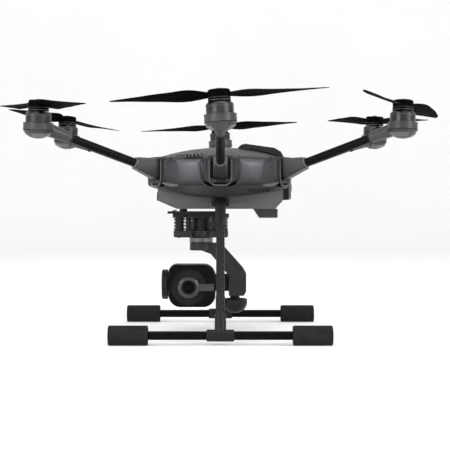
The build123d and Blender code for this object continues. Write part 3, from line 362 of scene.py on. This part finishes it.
# Nodes whose paint differs from the rest of their slot.
SPECIAL = {
    "lower_shell": "hull", "leg_mounts": "dark_plastic", "rear_hump": "hump", "tilt_motor": "dark_plastic",
    "pan_arm": "gimbal_paint", "gimbal_base": "gimbal_paint", "lens_barrel": "lens_trim",
    "leg_tubes_left": "leg_carbon", "leg_tubes_right": "leg_carbon",
}
for part in frame["record"]["subparts"]:
    target = nodes[part["node"]]
    target.data.materials.clear()
    target.data.materials.append(MATERIALS[SPECIAL.get(part["node"], part["material_slot"])])


# ---------------------------------------------------------------- mesh helpers
MM = 0.001


def piece(name, mesh_data, material, body, smooth_angle=35.0):
    """Turns a bmesh into an object that rides on a body."""
    mesh = bpy.data.meshes.new(name)
    bmesh.ops.recalc_face_normals(mesh_data, faces=mesh_data.faces)
    for edge in mesh_data.edges:
        edge.smooth = len(edge.link_faces) == 2 and edge.calc_face_angle() < math.radians(smooth_angle)
    for face in mesh_data.faces:
        face.smooth = True
    mesh_data.to_mesh(mesh)
    mesh_data.free()
    mesh.materials.append(MATERIALS[material])
    made = bpy.data.objects.new(name, mesh)
    bpy.context.collection.objects.link(made)
    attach(made, body)
    return made


def axes(origin, up, out):
    """Matrix with z along up and x along the part of out that is square to it."""
    z = Vector(up).normalized()
    x = Vector(out)
    x = (x - z * x.dot(z)).normalized()
    return Matrix.Translation(Vector(origin)) @ Matrix((x, z.cross(x), z)).transposed().to_4x4()


def lathe(mesh_data, profile, place, segments=48):
    """Adds a closed body of revolution: profile is (radius, height) from axis to axis, in mm."""
    rings = []
    for radius, height in profile:
        count = 1 if radius == 0 else segments
        rings.append([
            mesh_data.verts.new(place @ Vector((radius * MM * math.cos(2 * math.pi * i / segments),
                                                radius * MM * math.sin(2 * math.pi * i / segments),
                                                height * MM)))
            for i in range(count)
        ])
    closed = profile[0][0] > 0
    pairs = list(zip(rings, rings[1:] + rings[:1])) if closed else list(zip(rings, rings[1:]))
    for first, second in pairs:
        for i in range(segments):
            after = (i + 1) % segments
            if len(first) == 1:
                mesh_data.faces.new((first[0], second[i], second[after]))
            elif len(second) == 1:
                mesh_data.faces.new((first[i], second[0], first[after]))
            else:
                mesh_data.faces.new((first[i], second[i], second[after], first[after]))


def screw(mesh_data, place, radius=1.5):
    """A round-headed screw with a round socket, its seat at the origin of place."""
    head = [(0, -0.6), (radius, -0.6), (radius, 0.25), (radius * 0.8, 0.75), (radius * 0.52, 0.85)]
    lathe(mesh_data, head + [(radius * 0.5, 0.1), (0, 0.1)], place, 24)


def curved_plate(mesh_data, surface, rows, columns, thickness):
    """A closed plate over surface(u, v), which gives a point and its outward normal."""
    layers = []
    for depth in (thickness / 2, -thickness / 2):
        grid = []
        for row in range(rows + 1):
            line = []
            for column in range(columns + 1):
                point, normal = surface(row / rows, column / columns)
                line.append(mesh_data.verts.new(point + normal * depth))
            grid.append(line)
        layers.append(grid)
    outer, inner = layers
    for row in range(rows):
        for column in range(columns):
            cell = ((row, column), (row + 1, column), (row + 1, column + 1), (row, column + 1))
            mesh_data.faces.new([outer[r][c] for r, c in cell])
            mesh_data.faces.new([inner[r][c] for r, c in reversed(cell)])
    border = [(row, 0) for row in range(rows)]
    border += [(rows, column) for column in range(columns)]
    border += [(row, columns) for row in range(rows, 0, -1)]
    border += [(0, column) for column in range(columns, 0, -1)]
    for here, there in zip(border, border[1:] + border[:1]):
        mesh_data.faces.new((outer[here[0]][here[1]], inner[here[0]][here[1]],
                             inner[there[0]][there[1]], outer[there[0]][there[1]]))


# ---------------------------------------------------------------- details on arms and rotors
JOINTS = {joint["name"]: joint for joint in frame["joints"]}
ARM_RISE = math.radians(18)
ARM_REACH = 0.24
TUBE_END_HEIGHT = 0.249


def rotor_place(arm):
    """Frame at a motor's centre: z along its leaning axis, x outwards."""
    joint = JOINTS[f"spin_{arm}"]
    centre = Vector(joint["pos_m"])
    return axes(centre, joint["axis"], (centre.x, centre.y, 0))


def light_windows(arm):
    """Two pale windows in the bulb, one each side of the arm."""
    place = rotor_place(arm)
    windows = bmesh.new()
    # Circle through the bulb's tip, middle and rim.
    centre_height, sphere = 8.16, 22.66

    def surface(start, stop):
        def point(u, v):
            azimuth = math.radians(start + (stop - start) * v)
            radius = 9.2 + (15.6 - 9.2) * u
            height = centre_height - math.sqrt(sphere**2 - radius**2)
            local = Vector((radius * math.cos(azimuth), radius * math.sin(azimuth), height))
            normal = (local - Vector((0, 0, centre_height))).normalized()
            return place @ (local * MM), (place.to_3x3() @ normal)
        return point

    for start in (38, 218):
        curved_plate(windows, surface(start, start + 104), 6, 24, 0.9 * MM)
    piece(f"light_windows_{arm}", windows, "light_window", f"arm_{arm}")


def arm_details(arm):
    place = rotor_place(arm)
    out = Vector((place.translation.x, place.translation.y, 0)).normalized()
    across = Vector((-out.y, out.x, 0))
    # Dark joint between the pod's body and the bulb, with a ridge above it.
    seam = bmesh.new()
    lathe(seam, [(16.6, -5.2), (17.15, -5.1), (17.15, -4.5), (16.6, -4.4)], place, 64)
    piece(f"pod_seam_{arm}", seam, "seam", f"arm_{arm}")
    ridge = bmesh.new()
    lathe(ridge, [(16.4, 2.6), (17.3, 2.8), (17.3, 3.3), (16.4, 3.7)], place, 64)
    piece(f"pod_ridge_{arm}", ridge, "arm_plastic", f"arm_{arm}")
    along_tube = out * math.cos(ARM_RISE) + Vector((0, 0, math.sin(ARM_RISE)))
    # Collars where the carbon tube leaves the root and enters the pod.
    for label, radius, reach, inward, finish in (("root", 6.9, 0.1172, 1, "rim"),
                                                 ("pod", 6.6, 0.2008, -1, "dark_plastic")):
        collar = bmesh.new()
        start = out * reach + Vector((0, 0, TUBE_END_HEIGHT - (ARM_REACH - reach) * math.tan(ARM_RISE)))
        ring = [(5.03, 0), (radius, 0), (radius, 0.9), (radius - 0.6, 1.7), (5.03, 1.7)]
        lathe(collar, ring, axes(start, along_tube * inward, across), 40)
        piece(f"{label}_collar_{arm}", collar, finish, f"arm_{arm}")
    cap = bmesh.new()
    lathe(cap, [(0, 30.6), (2.6, 30.6), (3.0, 30.2), (3.0, 29.2), (0, 29.2)], place, 32)
    piece(f"shaft_cap_{arm}", cap, "silver", f"rotor_{arm}")
    rings = bmesh.new()
    lathe(rings, [(11.2, 17.4), (12.1, 17.7), (12.1, 18.6), (11.2, 18.9)], place, 64)
    lathe(rings, [(11.2, 20.4), (11.98, 20.6), (11.98, 21.0), (11.2, 21.2)], place, 64)
    piece(f"hub_rings_{arm}", rings, "arm_plastic", f"rotor_{arm}")
    band = bmesh.new()
    lathe(band, [(14.2, 11.2), (14.75, 11.4), (14.75, 12.6), (14.2, 12.8)], place, 64)
    piece(f"bell_band_{arm}", band, "arm_plastic", f"rotor_{arm}")


for arm in ARMS:
    light_windows(arm)
    arm_details(arm)


# ---------------------------------------------------------------- details on the body
def dome_height(radius):
    """Height of the upper shell's dome at a distance from its axis, in metres."""
    return 0.230 - 2.09 * radius**2


def shell_details():
    low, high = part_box("gimbal_mount_plate")
    plate_screws = bmesh.new()
    for x in (-0.026, 0.026):
        for y in (low.y + 0.008, high.y - 0.008):
            screw(plate_screws, axes((x, y, low.z + 0.009), (0, 0, -1), (1, 0, 0)), 1.7)
    for x in (-0.021, 0.021):
        for y in (-0.051, 0.003):
            screw(plate_screws, axes((x, y, 0.119), (0, 0, -1), (1, 0, 0)), 2.0)
    piece("gimbal_screws", plate_screws, "steel", "airframe")
    # Dark seam where the hump sits on the dome.
    seam = bmesh.new()
    hump_low, hump_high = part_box("rear_hump")

    def hump_seam(side):
        def surface(u, v):
            y = hump_low.y + 0.010 + (hump_high.y - hump_low.y - 0.018) * v
            x = side * (hump_high.x + 0.0001)
            radius = math.hypot(x, y)
            return Vector((x, y, dome_height(radius) + 0.0002 + 0.0011 * u)), Vector((side, 0, 0))
        return surface

    for side in (-1, 1):
        curved_plate(seam, hump_seam(side), 1, 24, 0.5 * MM)
    piece("hump_seam", seam, "seam", "airframe")
    # Cooling slots low on both flanks of the hull, behind the side arms.
    slots = bmesh.new()
    for side in (-1, 1):
        for step in range(8):
            azimuth = math.radians(22.5 + 2.6 * step)

            def slot(u, v, azimuth=azimuth, side=side):
                turn = azimuth + 0.016 * (v - 0.5) + 0.020 * (u - 0.5)
                out = Vector((side * math.cos(turn), math.sin(turn), 0))
                return out * 0.08802 + Vector((0, 0, 0.1762 + 0.0042 * (u - 0.5))), out
            curved_plate(slots, slot, 3, 2, 0.4 * MM)
    piece("hull_slots", slots, "seam", "airframe")
    # Slanted slots on the shell's shoulders, ahead of the side arms.
    slits = bmesh.new()
    arc_radius, arc_height, bend = 75.16, 204.59, 12.85
    for side in (-1, 1):
        for step in range(7):
            def slit(u, v, start=-44.0 + 3.1 * step, side=side):
                height = 211.9 + 4.3 * v
                reach = math.sqrt(bend**2 - (height - arc_height) ** 2)
                radius = arc_radius + reach
                y = start + 5.0 * v + 1.5 * u
                out = Vector((side * math.sqrt(radius**2 - y**2), y, 0)) / radius
                normal = (out * reach + Vector((0, 0, height - arc_height))) / bend
                return (out * radius + Vector((0, 0, height)) + normal * 0.05) * MM, normal
            curved_plate(slits, slit, 2, 8, 0.3 * MM)
    piece("shoulder_slots", slits, "seam", "airframe")


def camera_details():
    lens_low, lens_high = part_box("lens_barrel")
    centre = Vector((lens_high.x, (lens_low.y + lens_high.y) / 2, (lens_low.z + lens_high.z) / 2))
    place = axes(centre, (1, 0, 0), (0, 1, 0))
    trim = bmesh.new()
    lathe(trim, [(10.9, -2.7), (13.5, -2.7), (13.4, -2.0), (11.6, -0.3), (10.9, -0.1)], place, 72)
    piece("lens_ring", trim, "lens_trim", "camera")
    steps = bmesh.new()
    for radius, depth in ((8.2, -2.2), (6.6, -2.8)):
        inner, front = radius - 0.5, depth + 0.4
        lathe(steps, [(inner, depth), (radius, depth), (radius, front), (inner, front)], place, 64)
    piece("lens_steps", steps, "dark_plastic", "camera")
    # Raised bar from the lens ring to the camera's edge.
    bar = bmesh.new()

    def bar_face(u, v):
        y = centre.y + 0.0132 + (0.0310 - 0.0132) * v
        bow = 0.0002 * math.sin(math.pi * u)
        return Vector((0.02218 + bow, y, centre.z + 0.0044 * (2 * u - 1))), Vector((1, 0, 0))

    curved_plate(bar, bar_face, 8, 12, 0.35 * MM)
    piece("lens_bar", bar, "lens_trim", "camera")


def along(table, fraction):
    """Point on a polyline of pairs, its corners evenly spaced over 0..1."""
    place = min(fraction * (len(table) - 1), len(table) - 1.000001)
    index = int(place)
    part = place - index
    (a0, a1), (b0, b1) = table[index], table[index + 1]
    return a0 + (b0 - a0) * part, a1 + (b1 - a1) * part


def side_panels():
    """Raised, slightly convex panels between the arm housings; the flank panels lean amidships."""
    # Height, and how far the panel has dropped towards the shell there.
    rise = (
        (181.9, 2.1), (182.9, 1.0), (185.5, 0.3), (189.0, 0.0), (198.0, 0.0), (206.5, 0.0),
        (209.6, 0.7), (211.2, 2.4), (212.4, 4.4),
    )
    # Place across the panel, and drop.
    breadth = (
        (-1.0, 2.2), (-0.93, 1.0), (-0.84, 0.25), (-0.5, 0.06), (0.0, 0.0),
        (0.5, 0.06), (0.84, 0.25), (0.93, 1.0), (1.0, 2.2),
    )
    panels = bmesh.new()
    for centre, lean in ((24.6, -1), (155.4, 1), (205.4, -1), (335.4, 1), (270, 0)):
        def panel(u, v, centre=centre, lean=lean):
            height, drop = along(rise, u)
            span, fall = along(breadth, v)
            slant = -2.4 * lean * (height - 197.0) / 15.0
            azimuth = math.radians(centre) + (16.4 * span + slant) / 88.0
            out = Vector((math.cos(azimuth), math.sin(azimuth), 0))
            radius = 90.1 - max(drop, fall)
            return out * radius * MM + Vector((0, 0, height * MM)), out
        curved_plate(panels, panel, 24, 40, 0.5 * MM)
    piece("side_panels", panels, "panel", "airframe")


def socket_rims():
    """Light bead along the U-shaped rim of every arm socket."""
    half, bottom, corner, top = 12.9, 181.9, 8.2, 211.5
    straight, bend, floor_run = top - bottom - corner, math.pi / 2 * corner, 2 * (half - corner)
    total = 2 * straight + 2 * bend + floor_run

    def path(distance):
        """Point of the U and the direction square to it, outwards."""
        if distance > total / 2:
            (x, z), (nx, nz) = path(total - distance)
            return (-x, z), (-nx, nz)
        if distance < straight:
            return (half, top - distance), (1, 0)
        if distance < straight + bend:
            turn = (distance - straight) / corner
            return ((half - corner + corner * math.cos(turn), bottom + corner - corner * math.sin(turn)),
                    (math.cos(turn), -math.sin(turn)))
        return (half - corner - (distance - straight - bend), bottom), (0, -1)

    rims = bmesh.new()
    for azimuth in range(0, 360, 60):
        turn = math.radians(azimuth)
        out = Vector((math.cos(turn), math.sin(turn), 0))
        across = Vector((-out.y, out.x, 0))

        def bead(u, v, out=out, across=across):
            (x, z), (nx, nz) = path(total * v)
            offset = 1.1 * (u - 0.5)
            lift = 90.0 + 0.35 * math.cos(math.pi * (u - 0.5))
            point = out * lift + across * (x + nx * offset) + Vector((0, 0, z + nz * offset))
            return point * MM, out
        curved_plate(rims, bead, 4, 60, 0.4 * MM)
    piece("socket_rims", rims, "rim", "airframe")


def hull_lips():
    """Flanges on the hull that run from under each corner arm towards the middle of the flank."""
    # Azimuth away from the side arm, height, half height, and how far the lip stands out.
    run = (
        (50.5, 185.6, 1.3, 2.4), (48.0, 184.6, 2.0, 2.6), (44.0, 183.3, 2.1, 2.4),
        (40.0, 182.4, 1.7, 1.9), (36.5, 182.0, 1.1, 1.1), (34.5, 181.9, 0.5, 0.3),
    )
    lips = bmesh.new()
    for side in (1, -1):
        for end in (1, -1):
            def lip(u, v, side=side, end=end):
                azimuth, height = along([row[:2] for row in run], v)
                half, proud = along([row[2:] for row in run], v)
                turn = math.radians(azimuth)
                out = Vector((side * math.cos(turn), end * math.sin(turn), 0))
                rise = 2 * u - 1
                radius = 87.9 + proud * math.cos(rise * 1.35)
                normal = (out + Vector((0, 0, rise))).normalized()
                return (out * radius + Vector((0, 0, height + half * rise))) * MM, normal
            curved_plate(lips, lip, 8, 30, 0.4 * MM)
    piece("hull_lips", lips, "rim", "airframe")


shell_details()
side_panels()
hull_lips()
socket_rims()
camera_details()


# ---------------------------------------------------------------- floor, light and camera
def studio_floor():
    """A pale bowl: flat under the drone, sweeping up to a wall on every side."""
    floor = bmesh.new()
    profile = [(0.0, 0.0), (2.6, 0.0)]
    profile += [(2.6 + 1.4 * math.sin(t), 1.4 - 1.4 * math.cos(t)) for t in
                (math.pi / 2 * step / 12 for step in range(1, 13))]
    profile += [(4.0, 4.5)]
    segments = 96
    rings = []
    for radius, height in profile:
        count = 1 if radius == 0 else segments
        rings.append([floor.verts.new((radius * math.cos(2 * math.pi * i / segments),
                                       radius * math.sin(2 * math.pi * i / segments), height))
                      for i in range(count)])
    for inner, outer in zip(rings, rings[1:]):
        for i in range(segments):
            after = (i + 1) % segments
            if len(inner) == 1:
                floor.faces.new((inner[0], outer[i], outer[after]))
            else:
                floor.faces.new((inner[i], outer[i], outer[after], inner[after]))
    mesh = bpy.data.meshes.new("studio_floor")
    floor.to_mesh(mesh)
    floor.free()
    for face in mesh.polygons:
        face.use_smooth = True
    stage = bpy.data.objects.new("studio_floor", mesh)
    bpy.context.collection.objects.link(stage)
    material, tree, shader, place = new_material("studio_paper", specular=0.1)
    tree.links.new(two_tone(tree, noise(tree, place, 1.5), (0.86, 0.86, 0.86), (0.88, 0.88, 0.88)),
                   shader.inputs["Base Color"])
    shader.inputs["Roughness"].default_value = 0.9
    shader.inputs["Emission Color"].default_value = (1, 1, 1, 1)
    shader.inputs["Emission Strength"].default_value = 0.12
    mesh.materials.append(material)


def softbox(name, place, target, size, power):
    data = bpy.data.lights.new(name, "AREA")
    data.shape = "RECTANGLE"
    data.size, data.size_y = size
    data.energy = power
    lamp = bpy.data.objects.new(name, data)
    lamp.location = place
    lamp.rotation_euler = (Vector(target) - Vector(place)).to_track_quat("-Z", "Y").to_euler()
    bpy.context.collection.objects.link(lamp)


def studio():
    studio_floor()
    world = bpy.data.worlds.new("studio_air")
    world.use_nodes = True
    world.node_tree.nodes["Background"].inputs["Color"].default_value = (1, 1, 1, 1)
    world.node_tree.nodes["Background"].inputs["Strength"].default_value = 0.5
    bpy.context.scene.world = world
    centre = (0, 0, 0.2)
    softbox("overhead", (0.1, 0, 2.6), centre, (1.5, 1.5), 24)
    softbox("front_left", (1.8, -1.7, 1.1), centre, (1.1, 1.5), 36)
    softbox("rear_left", (1.5, 2.0, 1.2), centre, (1.1, 1.5), 36)


def camera():
    data = bpy.data.cameras.new("photo_view")
    data.lens = 90.4
    data.sensor_width = 36.0
    data.shift_x = 0.0102
    data.shift_y = -0.0422
    eye = bpy.data.objects.new("photo_view", data)
    eye.location = (1.409, 0.0, 0.1575)
    eye.rotation_euler = (math.pi / 2, 0.0, math.pi / 2)
    bpy.context.collection.objects.link(eye)
    bpy.context.scene.camera = eye


studio()
camera()
bpy.context.scene.view_settings.view_transform = "Standard"
